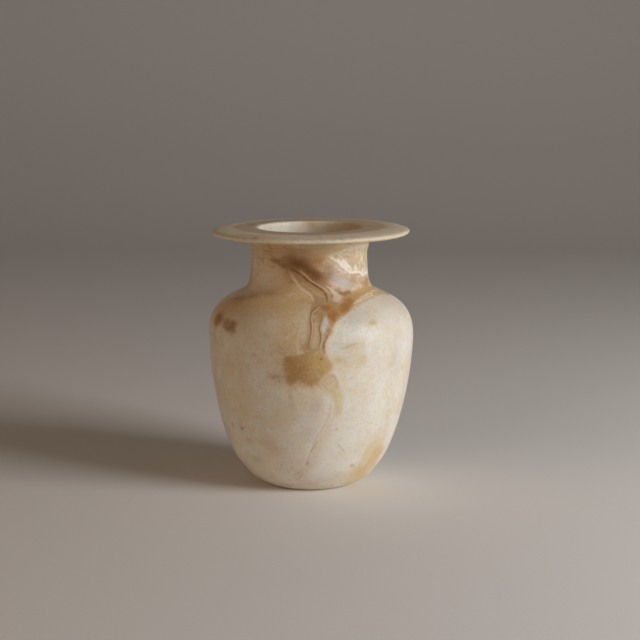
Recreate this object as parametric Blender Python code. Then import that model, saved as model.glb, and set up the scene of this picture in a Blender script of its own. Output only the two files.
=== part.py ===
"""Carved alabaster vase: a wide flat lip, a short neck and a swelling body on a small foot.

The whole vase is one turned stone. Its section is a chain of knots, each a radius, a height
and a direction, joined by smooth curves and turned about Z. Units are metres, +Z is up, and
the origin is the middle of the foot, where the vase stands.
"""
import math

import bmesh
import bpy
from mathutils import Vector

mm = 0.001

# Foot and heel
foot_radius = 27.4 * mm
heel_spread = 14.4 * mm       # how far the heel stands out beyond the foot
heel_height = 12.4 * mm

# Body, from the foot up to the widest ring
belly_radius = 59.6 * mm
belly_height = 87.5 * mm

# Shoulder, from the widest ring up to the neck
shoulder_inset = 6.0 * mm     # the round of the shoulder stands in from the belly
shoulder_rise = 17.4 * mm
collar_spread = 3.8 * mm      # where the shoulder meets the fillet of the neck
collar_rise = 9.7 * mm

# Neck, narrowest at its waist
neck_radius = 33.4 * mm
neck_rise = 18.8 * mm         # from the collar to the waist
lip_fillet = 5.9 * mm         # the neck flares by this much into the underside of the lip
lip_fillet_rise = 12.7 * mm   # from the waist to the underside of the lip

# Lip: flat by the mouth, then falling in an easy curve to a thin round edge
lip_overhang = 23.9 * mm      # beyond the waist of the neck
lip_depth = 3.9 * mm          # from its underside to its flat top
lip_fall = 2.2 * mm           # from its flat top down to the edge
lip_fall_share = 0.6          # share of the overhang that the fall takes
edge_round = 2.0 * mm         # the edge turns under over this width

# Hollow
neck_wall = 3.4 * mm
mouth_round = 1.3 * mm
body_wall = 6.0 * mm
shoulder_wall = 4.5 * mm      # left above the hollow where the neck opens into it
heel_wall = 7.5 * mm
floor_thickness = 9.0 * mm
floor_share = 0.45            # flat part of the hollow's floor, of the inner heel's radius

# Directions of the section at its knots, in degrees from level, as it runs up the outside
foot_angle = 25
heel_angle = 53
shoulder_angle = 135
collar_angle = 149
inner_shoulder_angle = -22    # leaving the bore, as the section runs down the inside

# The stone
stone_color = (0.66, 0.58, 0.47, 1.0)
stone_roughness = 0.42

steps_around = 64


def knot(radius, height, angle):
    """A point of the section with the direction in which the section passes it."""
    return Vector((radius, height)), math.radians(angle)


def heading(angle):
    return Vector((math.cos(angle), math.sin(angle)))


def curve(start, end, fullness, steps):
    """Points of a smooth curve from one knot to the next, without the first.

    Fullness is the reach of each end's handle, as a share of the straight distance.
    """
    first, first_angle = start
    last, last_angle = end
    reach = fullness * (last - first).length
    handle_a = first + reach * heading(first_angle)
    handle_b = last - reach * heading(last_angle)
    points = []
    for step in range(1, steps + 1):
        t = step / steps
        s = 1 - t
        points.append(s**3 * first + 3 * s * s * t * handle_a + 3 * s * t * t * handle_b + t**3 * last)
    return points


def quarter_oval(start, end, steps, level_first):
    """Points of a quarter oval between two points, without the first.

    It leaves the start level when level_first is set, and upright when it isn't.
    """
    span = end - start
    points = []
    for step in range(1, steps + 1):
        turn = 0.5 * math.pi * step / steps
        rising, easing = math.sin(turn), 1 - math.cos(turn)
        share = (rising, easing) if level_first else (easing, rising)
        points.append(start + Vector((span.x * share[0], span.y * share[1])))
    return points


def outer_section():
    """The outside, from the middle of the foot up to the edge of the mouth."""
    shoulder_height = belly_height + shoulder_rise
    collar_height = shoulder_height + collar_rise
    waist_height = collar_height + neck_rise
    underside = waist_height + lip_fillet_rise
    top = underside + lip_depth
    lip_radius = neck_radius + lip_overhang
    crest_radius = lip_radius - lip_fall_share * lip_overhang

    foot = knot(foot_radius, 0, foot_angle)
    heel = knot(foot_radius + heel_spread, heel_height, heel_angle)
    belly = knot(belly_radius, belly_height, 90)
    shoulder = knot(belly_radius - shoulder_inset, shoulder_height, shoulder_angle)
    collar = knot(neck_radius + collar_spread, collar_height, collar_angle)
    waist = knot(neck_radius, waist_height, 90)
    lip_root = knot(neck_radius + lip_fillet, underside, 0)

    points = [Vector((0, 0)), foot[0]]
    points += curve(foot, heel, 0.45, 4)
    points += curve(heel, belly, 0.25, 9)
    points += curve(belly, shoulder, 0.38, 5)
    points += curve(shoulder, collar, 0.38, 4)
    points += curve(collar, waist, 0.20, 5)
    points += curve(waist, lip_root, 0.33, 5)

    edge = Vector((lip_radius, top - lip_fall))
    edge_foot = Vector((lip_radius - edge_round, underside))
    crest = Vector((crest_radius, top))
    points.append(edge_foot)
    points += quarter_oval(edge_foot, edge, 3, level_first=True)
    points += quarter_oval(edge, crest, 5, level_first=False)
    return points


def inner_section():
    """The inside, from the edge of the mouth down to the middle of the floor."""
    collar_height = belly_height + shoulder_rise + collar_rise
    top = collar_height + neck_rise + lip_fillet_rise + lip_depth
    bore_radius = neck_radius - neck_wall
    heel_turn = math.radians(heel_angle)
    outer_heel = Vector((foot_radius + heel_spread, heel_height))
    inner_heel_point = outer_heel + heel_wall * Vector((-math.sin(heel_turn), math.cos(heel_turn)))

    mouth = Vector((bore_radius + mouth_round, top))
    throat = Vector((bore_radius, top - mouth_round))
    bore_end = knot(bore_radius, collar_height - shoulder_wall, inner_shoulder_angle)
    inner_belly = knot(belly_radius - body_wall, belly_height, -90)
    inner_heel = knot(inner_heel_point.x, inner_heel_point.y, heel_angle - 180)
    floor_edge = knot(floor_share * inner_heel_point.x, floor_thickness, 180)

    points = [mouth]
    points += quarter_oval(mouth, throat, 3, level_first=True)
    points.append(bore_end[0])
    points += curve(bore_end, inner_belly, 0.42, 7)
    points += curve(inner_belly, inner_heel, 0.30, 7)
    points += curve(inner_heel, floor_edge, 0.38, 4)
    points.append(Vector((0, floor_thickness)))
    return points


def turned_mesh(name, section):
    """A closed mesh from a section that starts and ends on the axis."""
    bm = bmesh.new()
    verts = [bm.verts.new((point.x, 0, point.y)) for point in section]
    edges = [bm.edges.new(pair) for pair in zip(verts, verts[1:])]
    bmesh.ops.spin(
        bm, geom=verts + edges, cent=(0, 0, 0), axis=(0, 0, 1),
        angle=2 * math.pi, steps=steps_around, use_merge=True,
    )
    bmesh.ops.remove_doubles(bm, verts=bm.verts, dist=0.01 * mm)
    bmesh.ops.recalc_face_normals(bm, faces=bm.faces)
    mesh = bpy.data.meshes.new(name)
    bm.to_mesh(mesh)
    bm.free()
    mesh.shade_smooth()
    mesh.set_sharp_from_angle(angle=math.radians(35))
    return mesh


def stone_material():
    material = bpy.data.materials.new("alabaster")
    material.use_nodes = True
    shader = material.node_tree.nodes["Principled BSDF"]
    shader.inputs["Base Color"].default_value = stone_color
    shader.inputs["Roughness"].default_value = stone_roughness
    shader.inputs["Metallic"].default_value = 0.0
    return material


def build_vase():
    mesh = turned_mesh("vase", outer_section() + inner_section())
    mesh.materials.append(stone_material())
    vase = bpy.data.objects.new("vase", mesh)
    bpy.context.scene.collection.objects.link(vase)
    return vase


for old in list(bpy.data.objects):
    bpy.data.objects.remove(old)

build_vase()
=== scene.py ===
import math

import bmesh
import bpy
import numpy as np
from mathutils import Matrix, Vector, noise


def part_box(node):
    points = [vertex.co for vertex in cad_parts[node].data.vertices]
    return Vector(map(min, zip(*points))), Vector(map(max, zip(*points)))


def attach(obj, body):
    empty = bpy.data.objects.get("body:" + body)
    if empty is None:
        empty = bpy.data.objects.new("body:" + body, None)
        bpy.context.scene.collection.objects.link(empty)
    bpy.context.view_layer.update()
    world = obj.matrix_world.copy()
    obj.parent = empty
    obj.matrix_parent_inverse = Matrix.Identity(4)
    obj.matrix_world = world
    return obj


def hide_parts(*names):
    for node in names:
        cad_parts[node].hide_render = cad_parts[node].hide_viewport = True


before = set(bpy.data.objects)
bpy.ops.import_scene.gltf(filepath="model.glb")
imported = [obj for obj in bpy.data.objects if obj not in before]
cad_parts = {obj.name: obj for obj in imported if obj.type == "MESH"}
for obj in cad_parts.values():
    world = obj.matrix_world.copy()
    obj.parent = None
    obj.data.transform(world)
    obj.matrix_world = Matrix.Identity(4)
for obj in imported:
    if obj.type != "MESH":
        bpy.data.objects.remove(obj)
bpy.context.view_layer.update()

# Veined alabaster vase. All form sizes below are millimetres; angles are degrees round the axis,
# counted from the front towards the right. Marks seen from the front are placed by photo pixels.

fullHeight = 150.0
low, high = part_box("vase")
mm = (high.z - low.z) / fullHeight

photoView = {
    "side": 640,                        # the photograph is square
    "place": (0.0055, -0.8721, 0.2439),
    "lookDown": 9.69,
    "lens": 85.0,
    "sensor": 36.0,
    "rayRange": (780, 980, 0.2),        # mm from the camera where a ray is tried, and its step
}


def paint(red, green, blue):
    # a colour as picked on screen, 0 to 255, made linear
    shares = [value / 255 for value in (red, green, blue)]
    return [s / 12.92 if s <= 0.04045 else ((s + 0.055) / 1.055) ** 2.4 for s in shares] + [1.0]


# the vase's form

vaseForm = {
    # radius, height, direction, fullness of the curve to the next knot, mesh step
    "outside": [
        (27.4, 0.0, 25, 0.45, 1.3),
        (41.8, 12.4, 53, 0.25, 1.6),
        (59.6, 87.5, 90, 0.38, 1.6),
        (53.6, 104.9, 135, 0.38, 1.5),
        (37.2, 114.6, 149, 0.20, 1.5),
        (33.4, 133.4, 90, 0.33, 1.3),
        (39.3, 146.1, 0, 0, 2.0),
    ],
    "edgeFoot": (55.3, 146.1),
    "edge": (57.3, 147.8),
    "crest": (42.96, 150.0),
    "mouth": (31.3, 150.0),
    "throat": (30.0, 148.7),
    "inside": [
        (30.0, 110.1, -22, 0.42, 3.0),
        (53.6, 87.5, -90, 0.30, 3.6),
        (35.81, 16.91, -127, 0.38, 3.0),
        (16.1, 9.0, 180, 0, 3.0),
    ],
    "stepsRound": 220,
    "softening": 0.35,                  # corners are eased over about this length
    # sideways drift of the hand-turned axis by height, then its run-out round the vase
    "driftHeights": (0, 12, 30, 60, 87, 105, 118, 135, 146, 150),
    "driftRight": (0, -0.2, -0.35, 0.1, 0.35, -0.2, -0.7, -0.8, -0.1, 0.17),
    "lipTilt": 0.3,                     # degrees, down on the left
    "tiltRise": (136, 147),             # heights between which the tilt comes in
    "wobble": 0.22,                     # how far the stone stands off its true round
    "wobbleSize": 34.0,
    "ripple": 0.05,
    "rippleSize": 7.0,
    "calmFoot": (0.4, 5),               # the foot stays flat up to here
    "fineSplit": 2,                     # extra cuts where the crisp marks run
    "fineReach": 1.8,
    "crispWidth": 1.5,                  # marks wider than this need no finer mesh
    "fineCell": 0.42,
    "areaReach": 20,
}


def curveRun(start, end, fullness):
    a, b = np.array(start[:2]), np.array(end[:2])
    reach = fullness * np.linalg.norm(b - a)
    wayOut, wayIn = math.radians(start[2]), math.radians(end[2])
    handleA = a + reach * np.array((math.cos(wayOut), math.sin(wayOut)))
    handleB = b - reach * np.array((math.cos(wayIn), math.sin(wayIn)))
    t = np.linspace(0, 1, 240)[:, None]
    s = 1 - t
    return s**3 * a + 3 * s * s * t * handleA + 3 * s * t * t * handleB + t**3 * b


def ovalRun(start, end, levelFirst):
    a, b = np.array(start), np.array(end)
    turn = np.linspace(0, math.pi / 2, 120)
    rising, easing = np.sin(turn), 1 - np.cos(turn)
    shares = (rising, easing) if levelFirst else (easing, rising)
    return a + (b - a) * np.stack(shares, axis=1)


def lineRun(start, end):
    return np.array(start) + (np.array(end) - np.array(start)) * np.linspace(0, 1, 120)[:, None]


def sectionRuns():
    form = vaseForm
    out, inn = form["outside"], form["inside"]
    runs = [(lineRun((0, 0), out[0][:2]), 3.0)]
    runs += [(curveRun(a, b, a[3]), a[4]) for a, b in zip(out, out[1:])]
    runs.append((lineRun(out[-1][:2], form["edgeFoot"]), 1.8))
    runs.append((ovalRun(form["edgeFoot"], form["edge"], True), 0.5))
    runs.append((ovalRun(form["edge"], form["crest"], False), 1.1))
    runs.append((lineRun(form["crest"], form["mouth"]), 1.3))
    runs.append((ovalRun(form["mouth"], form["throat"], True), 0.5))
    runs.append((lineRun(form["throat"], inn[0][:2]), 1.7))
    runs += [(curveRun(a, b, a[3]), a[4]) for a, b in zip(inn, inn[1:])]
    runs.append((lineRun(inn[-1][:2], (0, inn[-1][1])), 3.0))
    return runs


def eased(values, width, odd):
    reach = int(width * 4)
    kernel = np.exp(-0.5 * (np.arange(-reach, reach + 1) / width) ** 2)
    kernel /= kernel.sum()
    sign = -1 if odd else 1
    padded = np.concatenate([sign * values[reach:0:-1], values, sign * values[-2:-reach - 2:-1]])
    return np.convolve(padded, kernel, mode="valid")


def joinedRuns():
    # the section as one line of points, and the places along it where the mesh has a ring
    rings, joined = [0.0], []
    for points, step in sectionRuns():
        length = np.linalg.norm(np.diff(points, axis=0), axis=1).sum()
        count = max(1, round(length / step))
        rings += list(rings[-1] + length * np.arange(1, count + 1) / count)
        joined.append(points[1:] if joined else points)
    return np.concatenate(joined), rings


sectionStep = 0.1
runPoints, ringPlaces = joinedRuns()
runPlaces = np.concatenate([[0], np.cumsum(np.linalg.norm(np.diff(runPoints, axis=0), axis=1))])
sectionPlaces = np.arange(0, runPlaces[-1], sectionStep)
sectionPlaces[-1] = runPlaces[-1]
sectionRadius = eased(np.interp(sectionPlaces, runPlaces, runPoints[:, 0]),
                      vaseForm["softening"] / sectionStep, True)
sectionHeight = eased(np.interp(sectionPlaces, runPlaces, runPoints[:, 1]),
                      vaseForm["softening"] / sectionStep, False)
sectionRadius[[0, -1]] = 0
topPlace = int(np.argmax(sectionHeight > vaseForm["crest"][1] - 0.001))


def radiusAt(place):
    return np.interp(place, sectionPlaces, sectionRadius)


def heightAt(place):
    return np.interp(place, sectionPlaces, sectionHeight)


def outerRadius(height):
    # radius of the outside at a height; the lip's underside is a step
    return np.interp(height, sectionHeight[:topPlace], sectionRadius[:topPlace])


def boreRadius(height):
    inside = slice(len(sectionPlaces) - 1, topPlace, -1)
    return np.interp(height, sectionHeight[inside], sectionRadius[inside], left=0)


def driftAt(height):
    return np.interp(height, vaseForm["driftHeights"], vaseForm["driftRight"])


def smoothStep(values, start, end):
    t = np.clip((values - start) / (end - start), 0, 1)
    return t * t * (3 - 2 * t)


# how marks are placed on the stone

def photoRays(pixels):
    # from the camera's place through each pixel
    tilt = math.radians(photoView["lookDown"])
    focal = photoView["lens"] / photoView["sensor"] * photoView["side"]
    half = photoView["side"] / 2
    ahead = np.array((0, math.cos(tilt), -math.sin(tilt)))
    right = np.array((1, 0, 0))
    up = np.array((0, math.sin(tilt), math.cos(tilt)))
    x = (pixels[:, 0] - half)[:, None] / focal
    y = (half - pixels[:, 1])[:, None] / focal
    rays = ahead + x * right + y * up
    return rays / np.linalg.norm(rays, axis=1)[:, None]


def onStone(pixels):
    # where the rays through these pixels first meet the stone, in mm, with the drift taken off;
    # a ray that passes beside the stone marks the place it passes nearest
    place = np.array(photoView["place"]) / mm
    rays = photoRays(np.asarray(pixels, float))
    spots = np.zeros((len(rays), 3))
    leastGap = np.full(len(rays), 1e9)
    for travel in np.arange(*photoView["rayRange"]):
        p = place + rays * travel
        across = p[:, 0] - driftAt(p[:, 2])
        radius = np.hypot(across, p[:, 1])
        level = np.clip(p[:, 2], 0, fullHeight - 0.1)
        gap = np.maximum(radius - outerRadius(level), boreRadius(level) - radius)
        gap = np.maximum(np.maximum(gap, p[:, 2] - fullHeight), -p[:, 2])
        nearer = (leastGap > 0) & (gap < leastGap)
        spots[nearer] = np.stack([across, p[:, 1], level], axis=1)[nearer]
        leastGap[nearer] = gap[nearer]
    return spots


def roundStone(places):
    # the same for marks given by degrees round the vase and height
    places = np.asarray(places, float)
    turn = np.radians(places[:, 0])
    radius = outerRadius(places[:, 1])
    return np.stack([radius * np.sin(turn), -radius * np.cos(turn), places[:, 1]], axis=1)


def flowing(points, spacing, closed=False):
    # a smooth line through the given points
    p = np.asarray(points, float)
    ends = [p[-1], p[0], p[1]] if closed else [2 * p[0] - p[1], p[-1], 2 * p[-1] - p[-2]]
    chain = np.vstack([ends[0], p, ends[1], ends[2]]) if closed else np.vstack([ends[0], p, ends[2]])
    line = []
    for a, b, c, d in zip(chain, chain[1:], chain[2:], chain[3:]):
        count = max(2, int(np.linalg.norm(c - b) / spacing))
        for t in np.arange(count) / count:
            line.append(0.5 * (2 * b + (c - a) * t + (2 * a - 5 * b + 4 * c - d) * t * t
                               + (3 * b - a - 3 * c + d) * t**3))
    if not closed:
        line.append(p[-1])
    return np.array(line)


def markLines(mark, closed=False):
    lines = [onStone(flowing(t, 1.0, closed)) for t in mark.get("photo", [])]
    lines += [roundStone(flowing(t, 1.2, closed)) for t in mark.get("round", [])]
    return lines


farAway = 99.0
rowsAtOnce = 4000


def fromLine(points, normals, line, reach, closed=False):
    # signed distance to a line on the stone, and how far along the line the nearest place is
    signed = np.full(len(points), farAway)
    along = np.zeros(len(points))
    near = np.all((points > line.min(axis=0) - reach) & (points < line.max(axis=0) + reach), axis=1)
    picked = np.nonzero(near)[0]
    if len(picked) == 0:
        return signed, along, 0.0
    ring = np.vstack([line, line[:1]]) if closed else line
    starts, ways = ring[:-1], np.diff(ring, axis=0)
    lengths = np.linalg.norm(ways, axis=1)
    keep = lengths > 1e-6
    starts, ways, lengths = starts[keep], ways[keep], lengths[keep]
    before = np.concatenate([[0], np.cumsum(lengths)[:-1]])
    for part in np.array_split(picked, max(1, len(picked) // rowsAtOnce)):
        gap = points[part][:, None, :] - starts[None]
        share = np.clip((gap * ways).sum(axis=2) / lengths**2, 0, 1)
        rest = gap - share[..., None] * ways[None]
        distance = np.linalg.norm(rest, axis=2)
        best = distance.argmin(axis=1)
        row = np.arange(len(part))
        side = np.cross(ways[best], gap[row, best])
        sign = np.where((side * normals[part]).sum(axis=1) < 0, -1.0, 1.0)
        signed[part] = sign * distance[row, best]
        along[part] = before[best] + share[row, best] * lengths[best]
    return signed, along, lengths.sum()


def insideOutline(points, line):
    # even-odd test on degrees and height, unrolled about the outline's own middle
    middle = math.atan2(line[:, 0].mean(), -line[:, 1].mean())

    def unrolled(p):
        turn = np.arctan2(p[:, 0], -p[:, 1]) - middle
        return np.degrees((turn + math.pi) % (2 * math.pi) - math.pi), p[:, 2]

    x, y = unrolled(points)
    cornerX, cornerY = unrolled(line)
    inside = np.zeros(len(points), bool)
    for ax, ay, bx, by in zip(cornerX, cornerY, np.roll(cornerX, -1), np.roll(cornerY, -1)):
        if ay != by:
            inside ^= ((ay > y) != (by > y)) & (x < ax + (bx - ax) * (y - ay) / (by - ay))
    return inside


# marks that are lines

# width is the half width in mm, relief the height of the mark in mm, fades the lengths in mm over
# which its two ends die away, ragged how far noise pushes it about, soft the softness of its rim;
# a one-sided line is crisp on one side and dies away over its width on the other
veins = {
    "smear": {
        "colour": paint(155, 116, 76), "width": 3.8, "strength": 0.86, "fades": (12, 6), "ragged": 0.4,
        "soft": 1.4, "patchy": 0.2,
        "photo": [[(274, 260), (282, 261), (291, 262), (300, 264), (308, 268.2), (317.5, 275),
                   (326, 281.8), (333, 285.6)]],
    },
    "smearCore": {
        "colour": paint(122, 80, 40), "width": 2.1, "strength": 0.82, "fades": (10, 5), "ragged": 0.6,
        "soft": 1.4, "patchy": 0.4,
        "photo": [[(281, 263), (290, 263.4), (297, 263.6), (302.5, 265.4), (307, 269.4), (312.5, 273.6),
                   (319, 278.4), (324, 282)]],
    },
    "smearFoot": {
        "colour": paint(140, 104, 70), "width": 1.3, "strength": 0.6, "fades": (5, 3), "ragged": 0.5,
        "soft": 0.9,
        "photo": [[(268, 258.6), (276, 261.4), (283, 265.5), (289, 268)]],
    },
    "crackPale": {
        "colour": paint(214, 184, 146), "width": 0.34, "strength": 0.65, "fades": (4, 2), "relief": 0.04,
        "ragged": 0.6, "soft": 0.6, "patchy": 0.6,
        "photo": [[(297, 268.8), (302, 272.2), (306.6, 276.2), (311, 280.3), (315.6, 283.3), (319.8, 285.7),
                   (323.8, 288.2), (327.4, 291.6), (329.3, 296), (329.3, 300.4)]],
    },
    "lowerRidge": {
        "colour": paint(224, 202, 172), "width": 0.66, "strength": 0.8, "fades": (7, 4), "relief": 0.06,
        "soft": 0.9, "patchy": 0.4,
        "photo": [[(289, 271), (292, 277), (295.4, 281.2), (298.6, 285.8), (302, 289.4), (306.4, 292.4),
                   (310.6, 295.8), (312.8, 299.6), (312.4, 303.6)]],
    },
    "oldSkin": {
        "colour": paint(200, 168, 128), "width": 0.5, "strength": 0.5, "fades": (2, 3), "relief": 0.04,
        "soft": 0.8,
        "photo": [[(287.2, 268.4), (290.5, 273.2), (295.2, 278.8)],
                  [(300, 281.6), (305.5, 285.8), (311.5, 289.4), (316, 294.4), (317.6, 299.6)],
                  [(303.5, 256.3), (309.4, 256.9), (315.4, 258), (320, 257.6)],
                  [(307, 252.2), (316, 252.8), (324, 252.4)],
                  [(268, 253), (280, 251.4), (290, 251.8)]],
    },
    "mainCrack": {
        "colour": paint(116, 78, 44), "width": 0.38, "strength": 0.84, "fades": (5, 9), "relief": -0.02,
        "soft": 0.8, "patchy": 0.3,
        "photo": [[(287, 267.2), (290.6, 268.7), (296.2, 271.7), (301.6, 275.7), (307, 280.4),
                   (312.6, 284), (318.1, 287.3), (322.9, 290.9), (325.6, 294.8), (327, 299.7),
                   (326.8, 305)]],
    },
    "loopPale": {
        "colour": paint(224, 202, 174), "width": 0.38, "strength": 0.75, "fades": (1.5, 1.5),
        "relief": 0.06, "soft": 0.5,
        "photo": [[(325.6, 285.6), (329.2, 287.8), (332, 290.4), (334.4, 294.1), (333.7, 298.1),
                   (331, 300.8)]],
    },
    "loopDark": {
        "colour": paint(156, 118, 84), "width": 0.28, "strength": 0.6, "fades": (1, 1), "relief": -0.04,
        "soft": 0.5,
        "photo": [[(326.6, 288.2), (329.6, 290.8), (332.1, 294.6), (331.3, 298.6)]],
    },
    "loopMilk": {
        "colour": paint(222, 208, 188), "width": 1.7, "strength": 0.6, "fades": (2, 2), "ragged": 0.4,
        "soft": 1.0,
        "photo": [[(336.6, 293.4), (338, 298), (336.4, 303.4)]],
    },
    "secondCrack": {
        "colour": paint(146, 108, 72), "width": 0.21, "strength": 0.72, "fades": (2, 5),
        "relief": -0.02, "soft": 0.7,
        "photo": [[(319.6, 304.6), (316, 308), (312.2, 311), (310.8, 314.4), (310.4, 320), (311.2, 327),
                   (310.8, 333), (309.6, 339), (308, 347)]],
    },
    "secondPale": {
        "colour": paint(226, 200, 164), "width": 0.32, "strength": 0.7, "fades": (3, 3), "relief": 0.06,
        "soft": 0.5, "patchy": 0.4,
        "photo": [[(320.6, 305.6), (316.6, 309.6), (313.2, 312.8), (312, 316.4), (311.8, 321),
                   (312.6, 327.6), (312.2, 333), (311, 339), (309.6, 346.5)]],
    },
    "outlinePale": {
        "colour": paint(222, 206, 174), "width": 0.5, "strength": 0.8, "fades": (4, 4), "relief": 0.06,
        "soft": 0.7, "patchy": 0.3,
        "photo": [[(312, 303.4), (307.4, 306.4), (304.1, 311.2), (301.8, 318.7), (300.4, 325.7),
                   (300.2, 330), (298, 335), (296.9, 342.8), (297.6, 349.4), (297.9, 356.5)],
                  [(309.2, 309), (306.6, 314), (305.6, 321), (305.9, 328)]],
    },
    "redLine": {
        "colour": paint(154, 114, 76), "width": 0.27, "strength": 0.62, "fades": (3, 3),
        "relief": -0.02, "soft": 0.8,
        "photo": [[(322.4, 315.6), (320.9, 322.2), (319.4, 329.2), (320.4, 335), (320.5, 339.6),
                   (319.2, 346)]],
    },
    "tearTail": {
        "colour": paint(226, 210, 182), "width": 0.36, "strength": 0.75, "fades": (2, 3), "relief": 0.05,
        "soft": 0.4,
        "photo": [[(322.8, 331), (322.6, 335), (322.3, 340), (320.9, 346.6), (318.6, 350.6)]],
    },
    "tanLine": {
        "colour": paint(170, 128, 80), "width": 0.5, "strength": 0.65, "fades": (5, 3), "relief": -0.03,
        "soft": 0.8,
        "photo": [[(330.6, 326.5), (328, 333.5), (325.8, 339.1), (323.6, 344.7), (323.3, 350.3),
                   (324, 356)]],
    },
    "shoulderEdge": {
        "colour": paint(234, 216, 192), "width": 0.42, "strength": 0.6, "fades": (4, 3), "relief": 0.05,
        "soft": 0.6,
        "photo": [[(359.5, 302), (356.3, 304), (351.3, 311.3), (344.1, 317.9), (337, 323.4), (334.2, 330),
                   (330.8, 336.5), (326.5, 343.7), (326.4, 350.8), (328.8, 356.7), (333.6, 363.6),
                   (335, 368.4)]],
    },
    "edgeGlint": {
        "colour": paint(244, 238, 228), "width": 0.5, "strength": 0.7, "fades": (2, 2), "relief": 0.06,
        "soft": 0.4,
        "photo": [[(338.6, 327.6), (336, 333), (333, 337.7)]],
    },
    "patchEdge": {
        "colour": paint(232, 212, 180), "width": 0.42, "strength": 0.6, "fades": (3, 2), "relief": 0.05,
        "soft": 0.6,
        "photo": [[(326.4, 353), (328.8, 357.4), (331.4, 361.6), (334.3, 365.9), (333, 370.3),
                   (328.4, 375), (324, 378.6), (320.6, 381.6), (318.6, 385.2), (323.2, 389),
                   (328.5, 393.8)]],
    },
    "fanRibs": {
        "colour": paint(240, 224, 198), "width": 0.3, "strength": 0.55, "fades": (0.8, 4),
        "relief": 0.02, "soft": 0.5, "ragged": 0.6,
        "photo": [[(330.6, 376.4), (333.4, 379), (335.6, 382.8), (337.4, 387)],
                  [(328, 377.8), (330.9, 380.6), (333.4, 384.2), (335.6, 388.6)],
                  [(325.2, 379.4), (328.2, 382.2), (331, 386), (333.4, 390.6)],
                  [(322.4, 381.5), (325.6, 384.6), (328.8, 388.6), (331.4, 393)],
                  [(319.8, 384.2), (323, 387.4), (326.2, 391.4), (329, 396)]],
    },
    "fanGaps": {
        "colour": paint(190, 156, 116), "width": 0.26, "strength": 0.3, "fades": (1, 2),
        "relief": -0.01, "soft": 0.6,
        "photo": [[(329.4, 377.2), (332.2, 379.9), (334.6, 383.6)],
                  [(326.7, 378.7), (329.6, 381.5), (332.2, 385.2)],
                  [(323.9, 380.5), (326.9, 383.4), (329.9, 387.4)],
                  [(321.2, 382.9), (324.4, 386), (327.5, 390)]],
    },
    "wedgeStreaks": {
        "colour": paint(236, 222, 190), "width": 0.4, "strength": 0.5, "fades": (3, 4), "relief": 0.02,
        "soft": 0.8, "patchy": 0.6, "ragged": 0.6,
        "photo": [[(336.6, 384), (340.2, 391), (342, 399), (340.6, 407), (337.6, 413)],
                  [(333.4, 386.6), (337, 393.4), (338.4, 401), (336.6, 410), (333.6, 418)]],
    },
    "veinBand": {
        "colour": paint(234, 220, 200), "width": 1.4, "strength": 0.75, "fades": (8, 5), "soft": 0.9,
        "ragged": 0.5, "patchy": 0.4,
        "photo": [[(331, 420), (326.8, 428), (322.6, 436), (318.6, 444), (315.6, 452), (312.2, 460),
                   (308, 467), (302.4, 473)]],
    },
    "veinLeft": {
        "colour": paint(220, 202, 172), "width": 9.0, "strength": 0.4, "fades": (6, 8), "oneSided": True,
        "ragged": 0.05,
        "photo": [[(326, 390), (330.4, 399), (331.4, 408.9), (329.6, 417.5), (323.5, 430), (318.7, 436.5),
                   (314.5, 445), (311, 455.9), (306.6, 465), (303, 472)]],
        "round": [[(168, 108), (171, 99), (176, 93), (174, 84), (178, 77), (184, 70), (183, 61), (188, 53),
                   (189, 44), (194, 36), (193, 26), (198, 17), (199, 9)]],
    },
    "veinShade": {
        "colour": paint(208, 178, 138), "width": 0.36, "strength": 0.45, "fades": (4, 3), "soft": 0.8,
        "photo": [[(330.2, 400.5), (330, 408.9), (328.6, 417.5), (325.6, 423.4), (322, 430),
                   (319.2, 433.9), (316.2, 438.8), (313.9, 442.6), (312.3, 450.3), (309.3, 456.3),
                   (306.4, 463.3), (304.3, 467.6)]],
    },
    "lowerVein": {
        "colour": paint(237, 225, 200), "width": 0.5, "strength": 0.75, "fades": (2, 3),
        "relief": 0.025, "soft": 0.5,
        "photo": [[(328.2, 393), (331.2, 400.5), (333, 406.1), (332.2, 411), (331.3, 416.7),
                   (328.2, 422), (323.9, 429.3), (321.1, 433.2), (317.7, 438.1), (315.7, 442.2),
                   (314.2, 448.2), (311.6, 454), (308.9, 460.1), (306.4, 465.1), (304.4, 469.1),
                   (301.5, 472.1), (297.3, 474.6), (293.8, 478.1)]],
        "round": [[(167, 108), (170, 99), (175, 93), (173, 84), (177, 77), (183, 70), (182, 61), (187, 53),
                   (188, 44), (193, 36), (192, 26), (197, 17), (198, 9)],
                  [(173.4, 84), (170, 76), (171.4, 69), (167, 62)]],
    },
    "veinLoops": {
        "colour": paint(190, 156, 112), "width": 0.28, "strength": 0.55, "fades": (1, 1.4),
        "relief": -0.03, "soft": 0.5,
        "photo": [[(317.6, 441), (315.4, 445), (315.3, 450.5)],
                  [(313.2, 446.5), (311.6, 450), (310.6, 453.4)]],
    },
    "veinStain": {
        "colour": paint(188, 142, 90), "width": 0.55, "strength": 0.65, "fades": (3, 3), "soft": 0.9,
        "photo": [[(309, 460), (307.6, 463), (306, 466.6)]],
    },
    "footRays": {
        "colour": paint(234, 218, 186), "width": 0.34, "strength": 0.6, "fades": (1, 2), "relief": 0.05,
        "soft": 0.6,
        "photo": [[(304, 469), (298, 471.2), (291.5, 471.8)],
                  [(302.5, 471.5), (296.6, 476.4), (290, 479.4)],
                  [(304, 471), (301.4, 476), (298.8, 480)]],
    },
    "rayGaps": {
        "colour": paint(186, 156, 112), "width": 0.30, "strength": 0.45, "fades": (1, 2),
        "relief": -0.03, "soft": 0.7,
        "photo": [[(303.6, 470.6), (297.6, 473.4), (291, 476)], [(303, 473.4), (299, 478), (294, 481)]],
    },
    "crustShade": {
        "colour": paint(170, 136, 98), "width": 0.34, "strength": 0.45, "fades": (1.5, 2),
        "relief": -0.02, "soft": 0.9, "ragged": 0.8,
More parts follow.
